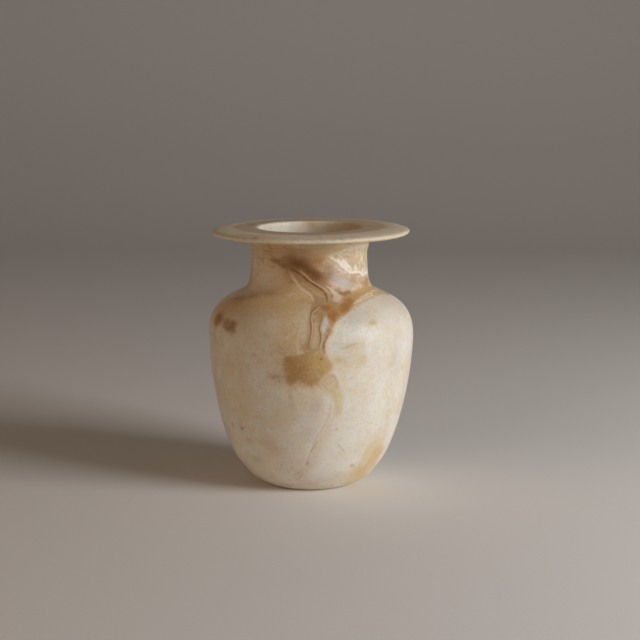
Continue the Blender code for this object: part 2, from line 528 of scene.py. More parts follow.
        "photo": [[(328.2, 259.6), (332.6, 260.6), (336.6, 263.4), (340.6, 267.2), (344.8, 270.8),
                   (348.6, 273.6), (354, 274.4), (359, 274.2), (361.6, 277)]],
    },
    "crustRidge": {
        "colour": paint(242, 231, 215), "width": 0.62, "strength": 0.9, "fades": (1.5, 1.5), "relief": 0.14,
        "ragged": 1.7, "soft": 0.6, "patchy": 0.35,
        "photo": [[(328.6, 257.8), (333, 259), (337.2, 261.8), (340.8, 265.4), (345, 269),
                   (348.8, 271.9), (353.2, 272.4), (357.4, 272), (360.2, 272.7), (362.3, 275),
                   (364.6, 273.4), (366.9, 271.8)],
                  [(335.6, 258.6), (339.4, 261), (342.4, 263.4), (345.4, 266.2), (348.6, 268.6)],
                  [(340.8, 258.8), (343.6, 261.6), (346.4, 264.6), (349.6, 267.6), (350.4, 271)],
                  [(355.2, 263.8), (355.6, 267.6), (357.4, 270.6)],
                  [(362.6, 266.4), (362.2, 270), (363.4, 273)]],
    },
    "crustFolds": {
        "colour": paint(222, 208, 188), "width": 0.4, "strength": 0.65, "fades": (1.4, 1.4),
        "relief": 0.12, "ragged": 1.1, "soft": 0.6,
        "photo": [[(337, 258.8), (340.6, 258), (343.4, 260.4)],
                  [(343, 262), (346.6, 263.8), (348, 268)],
                  [(354.6, 263), (353.8, 267.5), (354.8, 271.4)],
                  [(359.4, 264.6), (358.6, 268), (360, 272)],
                  [(364.8, 262), (364, 267), (366, 270.6)],
                  [(338.6, 251.8), (345, 250.4), (350.5, 251.8)],
                  [(339.6, 255), (346, 254.2), (351.5, 255.4)],
                  [(365.8, 244.5), (365.4, 250), (366.4, 256)]],
    },
    "shoulderCrust": {
        "colour": paint(242, 228, 202), "width": 0.45, "strength": 0.8, "fades": (2, 2), "relief": 0.08,
        "ragged": 1.5, "soft": 0.6, "patchy": 0.8,
        "photo": [[(353, 304.4), (356.4, 301.6), (360, 298.8), (362, 296.6), (366, 295), (368.6, 292.8),
                   (370.8, 294), (372.4, 291), (378, 290)],
                  [(357, 303), (362, 300.2), (368, 297), (374.5, 295)]],
    },
    "paleThreads": {
        "colour": paint(242, 236, 224), "width": 0.42, "strength": 0.45, "fades": (5, 5), "soft": 0.8,
        "ragged": 1.2, "patchy": 0.8,
        "photo": [[(349.9, 320.2), (345.6, 325.3), (344, 331.3), (344.3, 349.6)],
                  [(338, 415), (333.5, 424), (327.5, 434)]],
        "round": [[(97, 104), (93, 97), (94, 88), (99, 80), (98, 71), (93, 64), (96, 55), (101, 47)],
                  [(141, 62), (145, 55), (144, 49), (149, 41)],
                  [(226, 74), (222, 67), (224, 60), (220, 52), (222, 45)],
                  [(259, 104), (256, 97), (258, 90), (264, 82), (262, 74), (256, 66), (257, 58)]],
    },
    "dimThreads": {
        "colour": paint(190, 174, 136), "width": 0.45, "strength": 0.4, "fades": (3, 3), "ragged": 1.0,
        "soft": 0.8, "patchy": 0.7,
        "photo": [[(335.2, 441.2), (340, 446.5), (345, 452.4)],
                  [(346, 427.6), (349, 426.6), (353, 426.2)],
                  [(338, 350.6), (345, 347.6), (352, 344.8), (360, 342.6)],
                  [(232.2, 418.8), (232.8, 423), (233.2, 427.6)],
                  [(243, 430), (245.4, 431.6), (248.4, 433)]],
        "round": [[(95, 96), (95.4, 88), (100.4, 79), (99.2, 72)], [(128, 48), (131, 43), (130, 37)],
                  [(259.4, 88), (265.4, 80), (263, 73)], [(205, 26), (208, 21), (206, 16)]],
    },
}


# marks with an outline

# rim is the softness of the outline in mm, ragged how far noise pushes it about in mm, patchy how
# much the colour comes and goes inside
areas = {
    "veinGround": {
        "colour": paint(180, 144, 100), "rim": 2.2, "ragged": 1.8, "strength": 0.85, "patchy": 0.4,
        "photo": [[(284, 264), (296, 266), (308, 273), (320, 284), (330, 291), (336, 301), (336, 312),
                   (330, 324), (326, 340), (323, 352), (312, 352), (303, 352), (302, 343), (304, 331),
                   (305, 319), (308, 310), (311, 302), (306, 292), (299, 287), (293, 278), (286, 270)]],
    },
    "paleTongue": {
        "colour": paint(221, 209, 182), "rim": 1.7, "ragged": 0.9, "strength": 0.75, "patchy": 0.4,
        "photo": [[(309.4, 307), (309.8, 312), (308.6, 322), (308.8, 332), (306.8, 340), (303, 344),
                   (300.6, 340), (301, 332), (301.8, 322), (304, 312)]],
    },
    "innerTongue": {
        "colour": paint(222, 203, 170), "rim": 1.1, "ragged": 0.9, "strength": 0.7, "patchy": 0.4,
        "photo": [[(313.4, 322), (317.6, 324), (318, 331), (318.6, 337), (317.6, 345), (313, 349),
                   (310.8, 346), (312.6, 338), (313.6, 330)]],
    },
    "orangeStain": {
        "colour": paint(194, 156, 100), "rim": 1.3, "ragged": 1.6, "strength": 0.9, "patchy": 0.4,
        "photo": [[(330, 303), (336, 302), (341, 299), (340, 293), (344, 291.6), (352, 290), (358, 288),
                   (366, 286.6), (374, 286.6), (372, 290), (366, 294.2), (361, 297.4), (356.5, 302),
                   (350, 309.8), (342.9, 316.5), (335.9, 322.1), (333, 329), (329.6, 335.4),
                   (325.6, 343.1), (325.2, 352), (322.6, 350), (323.4, 343), (326.2, 336), (328.8, 329),
                   (330, 322), (329, 314), (325, 308)]],
    },
    "orangeDeep": {
        "colour": paint(176, 124, 65), "rim": 2.0, "ragged": 1.8, "strength": 0.85, "patchy": 0.3,
        "photo": [[(343, 299), (348, 296.6), (353, 299), (353.5, 304), (350, 308.6), (346, 312.4),
                   (341, 313), (339.6, 308), (342, 303)],
                  [(330, 313), (334, 311), (339, 313.6), (338, 318), (333, 321.4), (329.6, 319)],
                  [(321.6, 306.4), (325, 304.6), (329.6, 306.6), (328.6, 310.2), (324, 310.6)]],
    },
    "orangeRise": {
        "colour": paint(132, 80, 38), "rim": 1.6, "ragged": 1.2, "strength": 0.8, "patchy": 0.3,
        "photo": [[(333.6, 287.8), (338, 288.6), (344, 290.6), (350, 291.4), (346, 295.4), (340, 294.6),
                   (335.6, 291.4)]],
    },
    "ochreLens": {
        "colour": paint(196, 156, 94), "rim": 1.3, "ragged": 1.0, "strength": 0.75, "patchy": 0.3,
        "photo": [[(321, 312), (323.6, 314), (322, 319), (320, 326), (317.6, 327), (317.4, 320),
                   (318.6, 314)]],
    },
    "greyPatch": {
        "colour": paint(172, 154, 134), "rim": 2.6, "ragged": 2.2, "strength": 0.8, "patchy": 0.4,
        "photo": [[(326, 264), (333, 264), (340, 270), (346, 275), (353, 277), (356, 282), (352, 287),
                   (345, 289.6), (338, 288), (333, 282), (328, 274)]],
    },
    "greyHeart": {
        "colour": paint(190, 177, 168), "rim": 2.2, "ragged": 1.8, "strength": 0.85, "patchy": 0.3,
        "photo": [[(335, 277), (342, 277), (349, 280), (352, 284), (347, 288), (340, 286.6), (335, 282.6)]],
    },
    "teardrop": {
        "colour": paint(221, 216, 205), "rim": 0.9, "ragged": 0.5, "strength": 0.9, "patchy": 0.3,
        "photo": [[(325.6, 316), (327.8, 319.4), (328.3, 323.3), (326.6, 328), (324.2, 333),
                   (322.2, 333), (320.8, 328.4), (322, 323), (323.6, 319)]],
    },
    "bellyPatch": {
        "colour": paint(197, 159, 104), "rim": 2.1, "ragged": 1.6, "strength": 0.94, "patchy": 0.3,
        "photo": [[(284.1, 356.5), (288.2, 355.5), (295.3, 355.5), (303, 351.9), (308.6, 349.4),
                   (313.2, 350.4), (320.8, 352), (325.9, 355.5), (329, 361.1), (332.2, 365.2),
                   (331.2, 368.8), (328.4, 372.3), (323.8, 376.8), (319.7, 380.6), (317.2, 385),
                   (312.7, 386.6), (306.5, 385.1), (301.4, 382), (295.3, 382), (291.2, 384.1),
                   (288.2, 381), (287.2, 373.9), (284.6, 369.8), (283.8, 363.2)]],
    },
    "fanGround": {
        "colour": paint(208, 178, 136), "rim": 1.2, "ragged": 1.0, "strength": 0.75, "patchy": 0.3,
        "photo": [[(318, 384), (322, 379), (328, 375.5), (334, 374), (337.6, 380), (339, 388), (336, 394),
                   (329, 392), (322, 389)]],
    },
    "crustGround": {
        "colour": paint(204, 176, 128), "rim": 1.2, "ragged": 1.6, "strength": 0.8, "patchy": 0.5,
        "photo": [[(350, 308), (355, 301), (361, 296.4), (367, 291.6), (375, 288.4), (383, 289), (388, 292),
                   (380, 294.4), (373, 297), (367, 300.4), (360, 304.6), (353, 310)]],
        "round": [[(86, 112.6), (95, 113.2), (104, 112.4), (112, 111.8), (121, 109.6), (133, 109.2),
                   (126, 108), (115, 109), (106, 108.4), (97, 109.4), (89, 110.4)]],
    },
    "tanWedge": {
        "colour": paint(222, 206, 165), "rim": 2.0, "ragged": 1.6, "strength": 0.85, "patchy": 0.4,
        "photo": [[(322, 384), (329, 383), (335.6, 384), (340.4, 389), (343, 396), (342.6, 403),
                   (339.4, 412), (335.5, 415), (333.8, 407), (332.6, 400), (328.6, 392)]],
    },
    "footStain": {
        "colour": paint(224, 207, 167), "rim": 2.2, "ragged": 1.6, "strength": 0.85, "patchy": 0.35,
        "photo": [[(380.5, 438.4), (383.2, 443.7), (382.9, 449.6), (379.4, 457.3), (375.9, 464.4),
                   (370.9, 469.6), (365.4, 475.9), (359.4, 481), (352.4, 483.6), (345, 484.6),
                   (344.3, 481.9), (349.9, 473.5), (352.2, 469.3), (351, 464.6), (355.6, 466.4),
                   (359.4, 463), (360.6, 457.8), (365.5, 451.4), (369, 444.8), (374.6, 440)]],
    },
    "footStainWarm": {
        "colour": paint(223, 191, 147), "rim": 1.8, "ragged": 2.0, "strength": 0.8, "patchy": 0.5,
        "photo": [[(382.6, 445.6), (382, 450), (378.6, 456.6), (374, 463), (368.6, 466), (364.6, 475),
                   (359, 478.5), (355.6, 474), (358, 468), (364, 465.6), (368.6, 460), (372, 452),
                   (377, 446)]],
    },
    "brownSpots": {
        "colour": paint(178, 136, 86), "rim": 2.2, "ragged": 1.4, "strength": 0.8, "patchy": 0.35,
        "photo": [[(214.5, 322), (215.5, 317), (218, 313.8), (221.5, 313.4), (223, 316), (223.4, 320),
                   (221, 322.5), (219, 325), (215.5, 326)],
                  [(223.8, 320.4), (226, 318.4), (230, 319), (233, 321), (236, 323), (235.6, 328),
                   (234.5, 332.6), (231, 333.6), (227, 331), (223.6, 327.6), (222.6, 323)]],
    },
    "crustField": {
        "colour": paint(199, 182, 149), "rim": 1.1, "ragged": 1.4, "strength": 0.8, "patchy": 0.25,
        "relief": 0.16, "fine": True,
        "photo": [[(327, 257.2), (333, 259.6), (340, 265.4), (347, 271.2), (354, 272.8), (361, 274),
                   (364.5, 275.4), (369.5, 272.6), (370, 260), (369, 245), (358, 246), (346, 248.5),
                   (338, 252.5), (331, 254.6)]],
        "round": [[(78, 127), (84, 124.2), (91, 122.6), (97, 124.8), (103, 127.8), (110, 126.6),
                   (114, 128.8), (122, 128.4), (126, 131.4), (119, 133.2), (124, 136), (116, 136.6),
                   (112, 139.4), (104, 137.6), (97, 140.2), (88, 139.6), (80, 137)]],
    },
}


# soft tints

# each spot is a place, its half sizes round the vase and up it in mm, and its strength
tints = {
    "tan": {
        "colour": paint(182, 140, 88), "strength": 1.0,
        "photo": [((238, 299), (10, 5), 0.5), ((252, 295.5), (9, 3.6), 0.4), ((270, 293.5), (10, 3.5), 0.3),
                  # the spots at (292, 251) and (322, 251) darken the neck just under the lip: painted shade
                  # cast by the lip
                  ((292, 251), (14, 5), 0.4), ((322, 251), (12, 5), 0.25), ((277, 377), (7, 4.5), 0.4),
                  ((284, 350), (7, 5), 0.3), ((366, 282), (5, 4), 0.6), ((318, 261), (8, 5), 0.55),
                  ((386, 292.5), (6, 1.8), 0.5), ((306, 300), (5, 4), 0.3), ((293, 277), (7, 8), 0.6),
                  ((311, 226), (6, 6), 0.35), ((364, 250), (4, 8), 0.3), ((354, 279), (6, 4), 0.45),
                  ((362, 282), (5, 5), 0.4), ((328, 287), (4, 4), 0.4),
                  ((237, 226.4), (8, 4), 0.4), ((240, 425), (4.5, 4.5), 0.25)],
        "round": [((95, 118), (14, 12), 0.5), ((150, 122), (18, 12), 0.5), ((210, 120), (18, 13), 0.5),
                  ((268, 118), (14, 12), 0.5), ((120, 60), (12, 16), 0.35), ((205, 40), (16, 12), 0.4),
                  ((250, 85), (12, 14), 0.3), ((170, 95), (14, 9), 0.35)],
    },
    "honey": {
        "colour": paint(219, 192, 149), "strength": 1.0,
        "photo": [((222, 308), (10, 8), 0.55), ((238, 303), (15, 8), 0.7), ((264, 302), (16, 9), 0.65),
                  ((288, 304), (14, 10), 0.55), ((302, 298), (8, 10), 0.5), ((292, 320), (11, 12), 0.45),
                  ((300, 340), (9, 11), 0.6), ((286, 284), (12, 8), 0.4), ((262, 282), (12, 8), 0.3),
                  ((240, 405), (12, 20), 0.3), ((285, 348), (10, 10), 0.3), ((311, 402), (9, 9), 0.4),
                  ((342, 225), (13, 8), 0.15), ((357, 227), (8, 6), 0.2), ((330, 219.8), (26, 7), 0.5),
                  ((365, 222.6), (16, 10), 0.7), ((384, 227), (12, 9), 0.3),
                  ((256, 235.5), (14, 4), 0.5), ((280, 363), (8, 10), 0.35),
                  ((300, 387), (11, 4), 0.5), ((256, 328), (12, 24), 0.3), ((236, 350), (10, 40), 0.2)],
        "round": [((292, 100), (14, 9), 0.5), ((180, 104), (16, 8), 0.4), ((110, 102), (12, 8), 0.4)],
    },
    "straw": {
        "colour": paint(214, 194, 150), "strength": 1.0,
        "photo": [((373.3, 323), (3.6, 1.9), 0.85), ((356, 352), (6, 5), 0.35), ((362, 361), (5, 4), 0.4),
                  ((339, 360), (4.2, 2.6), 0.6), ((348, 367), (5, 3), 0.35),
                  ((352, 345), (8, 2), 0.35), ((338, 395), (2.4, 4), 0.5),
                  ((296, 305.5), (5.5, 2.6), 0.6), ((310, 484), (8, 1.8), 0.4), ((366, 458), (3, 4), 0.5),
                  ((389.9, 365.8), (3.5, 1.6), 0.5), ((401.8, 367.2), (4, 1.6), 0.5),
                  ((371, 310), (6, 4), 0.3)],
        "round": [((160, 50), (8, 8), 0.5), ((240, 60), (7, 9), 0.5), ((118, 96), (6, 4), 0.7),
                  ((186, 104), (7, 5), 0.5)],
    },
    "oliveAndUnderLipShade": {
        "colour": paint(190, 180, 142), "strength": 0.9,
        # the first two spots darken the neck just under the lip: painted shade cast by the lip; the rest
        # are olive stone
        "photo": [((316, 249), (12, 4), 0.5), ((334, 248), (10, 4), 0.4),
                  ((253.4, 355.2), (2.4, 1.4), 0.5), ((247, 366), (3, 2), 0.35), ((215, 338), (4, 7), 0.35),
                  ((250, 441), (6, 3.4), 0.4), ((257, 459), (5, 3), 0.4), ((336.6, 430), (1.2, 1.2), 0.5),
                  ((303, 322), (2.4, 6), 0.4), ((292, 404), (5, 4), 0.3)],
        "round": [((140, 82), (5, 6), 0.4), ((215, 18), (8, 5), 0.45), ((275, 70), (5, 7), 0.4)],
    },
    "rose": {
        "colour": paint(221, 190, 160), "strength": 0.7,
        "photo": [((266, 441), (6, 4), 0.45), ((277, 451), (6, 5), 0.45), ((262, 336), (7, 5), 0.3),
                  ((260.4, 363), (4, 5), 0.35), ((228, 360), (5, 7), 0.35),
                  ((290.8, 396.7), (2.2, 2.4), 0.55),
                  ((339, 408), (2.4, 3), 0.6), ((288, 484), (9, 1.6), 0.6), ((330, 283), (2.6, 3.2), 0.6),
                  ((345, 256.5), (2.6, 1.4), 0.5), ((328, 313), (2, 2), 0.5)],
        "round": [((110, 35), (9, 7), 0.4), ((190, 75), (8, 8), 0.35)],
    },
    # painted shade: greyish spots that darken the lit right side of the body and neck, toning down the key
    # light and its highlight there
    "paintedShade": {
        "colour": paint(204, 201, 193), "strength": 0.8,
        "photo": [((352, 322), (9, 14), 0.5), ((368, 314), (10, 8), 0.3), ((374, 345), (16, 16), 0.3),
                  ((398, 352), (8, 20), 0.4), ((340, 345), (6, 8), 0.3), ((362, 270), (8, 10), 0.3)],
    },
    "mauve": {
        "colour": paint(212, 197, 192), "strength": 0.8,
        "photo": [((316, 407), (4, 7), 0.5), ((311, 431), (6, 8), 0.45), ((299, 418), (6, 5), 0.3),
                  ((331, 281), (3, 3.4), 0.5), ((337, 474), (7, 4), 0.3)],
        "round": [((190, 60), (7, 6), 0.35), ((250, 64), (6, 8), 0.35)],
    },
    # milky stone, with painted light in some of the spots, as noted below
    "milkAndPaintedLight": {
        "colour": paint(240, 236, 228), "strength": 0.8,
        "photo": [((360, 316), (8, 5), 0.3), ((350, 334), (8, 7), 0.35), ((391, 311), (5, 5), 0.3),
                  # the spots at (386, 452) and (392, 428) are painted light: light thrown up from the floor
                  # onto the lower right of the body
                  ((256, 262), (8, 14), 0.4), ((267, 278), (9, 8), 0.45), ((386, 452), (9, 12), 0.8),
                  ((392, 428), (7, 9), 0.6), ((318, 440), (18, 18), 0.5), ((345, 440), (10, 8), 0.5),
                  ((326, 470), (12, 8), 0.9), ((314, 466), (6, 8), 0.6), ((320, 455), (7, 7), 0.5),
                  ((370, 405), (12, 16), 0.4), ((396, 398), (6, 12), 0.4),
                  # the spot at (254.8, 227.4) is a painted highlight where the mouth's rounded left end
                  # catches the light
                  ((350, 462), (7, 9), 0.5), ((254.8, 227.4), (2.4, 2.0), 0.7),
                  ((358, 238.6), (1.6, 0.8), 0.5), ((384, 236.4), (1.6, 0.8), 0.5)],
        "round": [((130, 90), (16, 14), 0.5), ((215, 60), (18, 16), 0.5), ((275, 45), (14, 16), 0.4)],
    },
    "brown": {
        "colour": paint(146, 104, 62), "strength": 0.8,
        "photo": [((297, 278), (8, 8), 0.18), ((304, 253), (7, 3.4), 0.22), ((241, 470), (5, 5), 0.6),
                  ((219.6, 317), (3.4, 2.2), 0.5), ((216.5, 323), (3, 1.8), 0.3),
                  ((232.6, 324.6), (2.2, 2.8), 0.5), ((228, 329), (2.6, 2), 0.35),
                  ((242.6, 464), (4.5, 4), 0.7), ((249, 471), (5, 3), 0.6), ((262, 478), (7, 2.4), 0.3)],
        "round": [((140, 70), (3.4, 2.4), 0.35), ((228, 98), (4, 2.4), 0.4), ((185, 4), (12, 2), 0.5),
                  ((120, 5), (10, 2), 0.4), ((260, 5), (10, 2), 0.4)],
    },
    "umber": {
        "colour": paint(150, 108, 66), "strength": 0.8,
        "photo": [((262, 481), (8, 2), 0.6), ((288, 485.5), (9, 1.2), 0.4), ((352, 465.6), (1.8, 1.2), 0.4),
                  ((251, 224.4), (3.2, 2.8), 0.7), ((255.5, 237.9), (2, 1.2), 0.7),
                  ((376.5, 464.6), (1.2, 0.8), 0.4), ((330.4, 286.4), (3.2, 2.8), 0.5)],
        "round": [((150, 6), (9, 2), 0.5), ((232, 7), (9, 2), 0.5)],
    },
    "patchBrown": {
        "colour": paint(180, 140, 84), "strength": 0.8,
        "photo": [((289, 362), (5, 5), 0.55), ((295, 373), (6, 6), 0.7), ((302, 366), (4, 5), 0.35),
                  ((291, 380), (4, 3), 0.5), ((309, 382), (6, 3), 0.4)],
    },
    "patchStraw": {
        "colour": paint(214, 184, 126), "strength": 0.9,
        "photo": [((321, 364), (5, 5), 0.6), ((327, 366), (3.4, 4), 0.6), ((317, 372), (5, 5), 0.3),
                  ((316, 355), (5, 2.4), 0.35), ((299.4, 366.2), (0.9, 0.9), 0.7)],
    },
    "crustOchre": {
        "colour": paint(184, 160, 120), "strength": 0.8,
        "photo": [((365, 256), (2.6, 7), 0.6), ((352.5, 264.5), (2.4, 3.4), 0.6),
                  ((362, 267), (2.6, 3), 0.6),
                  ((357, 259), (2.2, 2), 0.5), ((347.5, 255.4), (2.4, 1.4), 0.5)],
    },
    "dot": {
        "colour": paint(120, 66, 34), "strength": 0.9,
        "photo": [((242, 428.6), (1.5, 1.3), 0.6), ((233.4, 426), (1.3, 1.6), 0.35),
                  ((321.1, 358.8), (0.75, 0.7), 0.85),
                  ((255.6, 237.8), (0.9, 0.7), 0.5), ((254.4, 240.6), (0.8, 0.8), 0.4),
                  ((348.2, 362.6), (0.6, 0.5), 0.5)],
        "round": [((165, 110), (1.2, 1.0), 0.7), ((238, 34), (1.0, 1.0), 0.7)],
    },
}

# the marks in the order in which they lie over each other
laid = ["honey", "tan", "milkAndPaintedLight", "paintedShade", "rose", "mauve", "oliveAndUnderLipShade", "straw", "veinLeft", "veinGround",
        "ochreLens", "paleTongue", "innerTongue", "greyPatch", "greyHeart", "orangeStain", "orangeRise",
        "orangeDeep",
        "crustGround", "fanGround", "tanWedge", "wedgeStreaks", "footStain", "footStainWarm", "brownSpots",
        "brown", "umber", "smear", "smearCore", "smearFoot", "bellyPatch", "patchBrown", "patchStraw",
        "crustField", "crustOchre", "teardrop", "loopMilk", "oldSkin", "lowerRidge", "dimThreads",
        "paleThreads", "outlinePale", "secondPale", "crackPale", "secondCrack", "mainCrack", "loopPale",
        "loopDark", "redLine", "tearTail", "tanLine", "shoulderEdge", "edgeGlint", "patchEdge",
        "fanGaps", "fanRibs", "veinBand", "veinShade", "lowerVein", "veinLoops", "veinStain", "rayGaps",
        "footRays", "crustShade", "crustFolds", "crustRidge", "shoulderCrust", "dot"]


# the stone's mesh

def spunStone():
    bm = bmesh.new()
    alongLayer = bm.verts.layers.float.new("along")
    verts = []
    for place in ringPlaces:
        vert = bm.verts.new((radiusAt(place), 0, heightAt(place)))
        vert[alongLayer] = place
        verts.append(vert)
    edges = [bm.edges.new(pair) for pair in zip(verts, verts[1:])]
    bmesh.ops.spin(bm, geom=verts + edges, cent=(0, 0, 0), axis=(0, 0, 1), angle=2 * math.pi,
                   steps=vaseForm["stepsRound"], use_merge=True)
    bmesh.ops.remove_doubles(bm, verts=bm.verts, dist=0.001)
    bmesh.ops.recalc_face_normals(bm, faces=bm.faces)
    return bm, alongLayer


def stonePoints(along, turn):
    radius, height = radiusAt(along), heightAt(along)
    points = np.stack([radius * np.cos(turn), radius * np.sin(turn), height], axis=1)
    nudge = 0.15
    rise = heightAt(along + nudge) - heightAt(along - nudge)
    spread = radiusAt(along + nudge) - radiusAt(along - nudge)
    size = np.maximum(np.hypot(rise, spread), 1e-9)
    normals = np.stack([rise / size * np.cos(turn), rise / size * np.sin(turn), -spread / size], axis=1)
    return points, normals


def refine(bm, alongLayer, lines, outlines):
    # cut the faces along the crisp marks and inside the fine areas finer
    bm.verts.ensure_lookup_table()
    spots = np.array([v.co[:] for v in bm.verts])
    turn = np.arctan2(spots[:, 1], spots[:, 0])
    points, normals = stonePoints(np.array([v[alongLayer] for v in bm.verts]), turn)
    near = np.zeros(len(points), bool)
    for line in lines:
        signed, along, length = fromLine(points, normals, line, vaseForm["fineReach"] + 1)
        near |= np.abs(signed) < vaseForm["fineReach"]
    for line in outlines:
        signed, along, length = fromLine(points, normals, line, vaseForm["areaReach"], closed=True)
        near |= insideOutline(points, line) & (np.abs(signed) < farAway)
    faces = [f for f in bm.faces if any(near[v.index] for v in f.verts)]
    edges = list({e for f in faces for e in f.edges})
    bmesh.ops.subdivide_edges(bm, edges=edges, cuts=vaseForm["fineSplit"], use_grid_fill=True)


def noiseOf(points, size, seed):
    offset = Vector((seed * 17.3, seed * -9.1, seed * 5.7))
    return np.array([noise.noise(Vector(p) / size + offset) for p in points])


def buildVase():
    bm, alongLayer = spunStone()
    veinLines = {name: markLines(vein) for name, vein in veins.items()}
    areaLines = {name: markLines(area, closed=True) for name, area in areas.items()}
    crisp = [name for name in veins if veins[name]["width"] < vaseForm["crispWidth"]]
    fineLines = [line for name in crisp for line in veinLines[name]]
    fineLines += [line for lines in areaLines.values() for line in lines]
    fineAreas = [line for name in areas if areas[name].get("fine") for line in areaLines[name]]
    refine(bm, alongLayer, fineLines, fineAreas)
    mesh = bpy.data.meshes.new("vaseStone")
    bm.to_mesh(mesh)
    bm.free()
    count = len(mesh.vertices)
    spots = np.empty(count * 3)
    mesh.vertices.foreach_get("co", spots)
    spots = spots.reshape(-1, 3)
    along = np.empty(count)
    mesh.attributes["along"].data.foreach_get("value", along)
    mesh.attributes.remove(mesh.attributes["along"])
    points, normals = stonePoints(along, np.arctan2(spots[:, 1], spots[:, 0]))
    print("stone mesh:", sum(len(face.vertices) - 2 for face in mesh.polygons), "triangles")

    def keep(name, values):
        mesh.attributes.new(name, "FLOAT", "POINT").data.foreach_set("value", values.astype(np.float32))

    relief = np.zeros(count)
    for name, vein in veins.items():
        across, strength = np.full(count, 9.0), np.zeros(count)
        for line in veinLines[name]:
            signed, place, length = fromLine(points, normals, line, 4 * vein["width"] + 3)
            fadeIn, fadeOut = vein["fades"]
            power = smoothStep(place, 0, fadeIn) * smoothStep(length - place, 0, fadeOut)
            power *= 1 - smoothStep(np.abs(signed), 3 * vein["width"], 3 * vein["width"] + 1.5)
            scaled = signed / vein["width"]
            nearer = np.abs(scaled) < np.abs(across)
            across[nearer] = scaled[nearer]
            strength[nearer] = power[nearer]
        # no narrower than the mesh can carry
        spread = max(1, vaseForm["fineCell"] / vein["width"])
        relief += vein.get("relief", 0) * strength * np.exp(-(across / spread) ** 2)
        keep(name, across)
        keep(name + "Strength", strength)
    for name, area in areas.items():
        inward = np.full(count, -float(vaseForm["areaReach"]))
        for line in areaLines[name]:
            signed, place, length = fromLine(points, normals, line, vaseForm["areaReach"], closed=True)
            inside = insideOutline(points, line) & (np.abs(signed) < farAway)
            inward = np.maximum(inward, np.where(inside, np.abs(signed), -np.abs(signed)))
        if "relief" in area:
            pushed = inward + 1.2 * noiseOf(points, 1.8, 7)
            relief += area["relief"] * smoothStep(pushed, -0.3, 0.5) * (1 + 0.5 * noiseOf(points, 1.6, 9))
        keep(name, inward)
    for name, tint in tints.items():
        clear = np.ones(count)
        spotsHere = [(onStone([place])[0], size, power) for place, size, power in tint.get("photo", [])]
        spotsHere += [(roundStone([place])[0], size, power) for place, size, power in tint.get("round", [])]
        for centre, (wide, tall), power in spotsHere:
            across = np.array((-centre[1], centre[0], 0)) / max(np.hypot(centre[0], centre[1]), 1e-6)
            gap = points - centre
            sideways = gap @ across
            rest = np.linalg.norm(gap - sideways[:, None] * across, axis=1)
            away = (sideways / wide) ** 2 + (rest / tall) ** 2
            clear *= 1 - power * np.exp(-away)
        keep(name, 1 - clear)
    print("marks placed:", len(veins), "veins,", len(areas), "areas,", len(tints), "tints")

    outside = smoothStep(points[:, 2], *vaseForm["calmFoot"])
    relief += vaseForm["wobble"] * noiseOf(points, vaseForm["wobbleSize"], 3) * outside
    relief += vaseForm["ripple"] * noiseOf(points, vaseForm["rippleSize"], 5) * outside
    points = points + normals * relief[:, None]
    points[:, 0] += driftAt(points[:, 2])
    points[:, 2] += (smoothStep(points[:, 2], *vaseForm["tiltRise"]) * points[:, 0]
                     * math.tan(math.radians(vaseForm["lipTilt"])))
    mesh.vertices.foreach_set("co", (points * mm).ravel())
    mesh.shade_smooth()
    mesh.update()
    vase = bpy.data.objects.new("vaseStone", mesh)
    bpy.context.scene.collection.objects.link(vase)
    return vase


# the stone's look

class Flow:
    # a shader value that takes part in sums
    def __init__(self, sheet, socket):
        self.sheet = sheet
        self.socket = socket

    def __add__(self, other): return self.sheet.sum("ADD", self, other)
    def __radd__(self, other): return self.sheet.sum("ADD", other, self)
    def __sub__(self, other): return self.sheet.sum("SUBTRACT", self, other)
    def __rsub__(self, other): return self.sheet.sum("SUBTRACT", other, self)
    def __mul__(self, other): return self.sheet.sum("MULTIPLY", self, other)
    def __rmul__(self, other): return self.sheet.sum("MULTIPLY", other, self)
    def __truediv__(self, other): return self.sheet.sum("DIVIDE", self, other)
    def __rtruediv__(self, other): return self.sheet.sum("DIVIDE", other, self)
    def __neg__(self): return self.sheet.sum("MULTIPLY", self, -1.0)
    def __abs__(self): return self.sheet.sum("ABSOLUTE", self)
    def __pow__(self, power): return self.sheet.sum("POWER", self, power)


class Sheet:
    def __init__(self, name):
        self.material = bpy.data.materials.new(name)
        self.material.use_nodes = True
        self.tree = self.material.node_tree
        self.shader = self.tree.nodes["Principled BSDF"]

    def add(self, kind, settings=None, sockets=None, out=0):
        node = self.tree.nodes.new(kind)
        for key, value in (settings or {}).items():
            setattr(node, key, value)
        for key, value in (sockets or {}).items():
            self.plug(node.inputs[key], value)
        return Flow(self, node.outputs[out])

    def plug(self, socket, value):
        if isinstance(value, Flow):
            self.tree.links.new(value.socket, socket)
        else:
            socket.default_value = value

    def sum(self, operation, first, second=None):
        sockets = {0: first} if second is None else {0: first, 1: second}
        return self.add("ShaderNodeMath", {"operation": operation}, sockets)

    def mix(self, share, first, second, blend="MIX"):
        return self.add("ShaderNodeMix", {"data_type": "RGBA", "blend_type": blend},
                        {0: share, 6: first, 7: second}, out=2)

    def rise(self, value, start, end):
        return self.add("ShaderNodeMapRange", {"interpolation_type": "SMOOTHSTEP"},
                        {"Value": value, "From Min": start, "From Max": end})

    def place(self):
        return self.add("ShaderNodeTexCoord", out="Object")

    def shift(self, vector, amount):
        return self.add("ShaderNodeVectorMath", {"operation": "ADD"}, {0: vector, 1: amount})

    def stretch(self, vector, amount):
        return self.add("ShaderNodeVectorMath", {"operation": "MULTIPLY"}, {0: vector, 1: amount})

    def noise(self, vector, size, detail=3.0, rough=0.55, twist=0.0, out="Factor"):
        # size of the blotches in mm
        return self.add("ShaderNodeTexNoise", {"noise_dimensions": "3D"},
                        {"Vector": vector, "Scale": 1 / (size * mm), "Detail": detail,
                         "Roughness": rough, "Distortion": twist}, out=0 if out == "Factor" else 1)

    def stored(self, name):
        # a value kept on the mesh
        return self.add("ShaderNodeAttribute", {"attribute_name": name}, out=2)


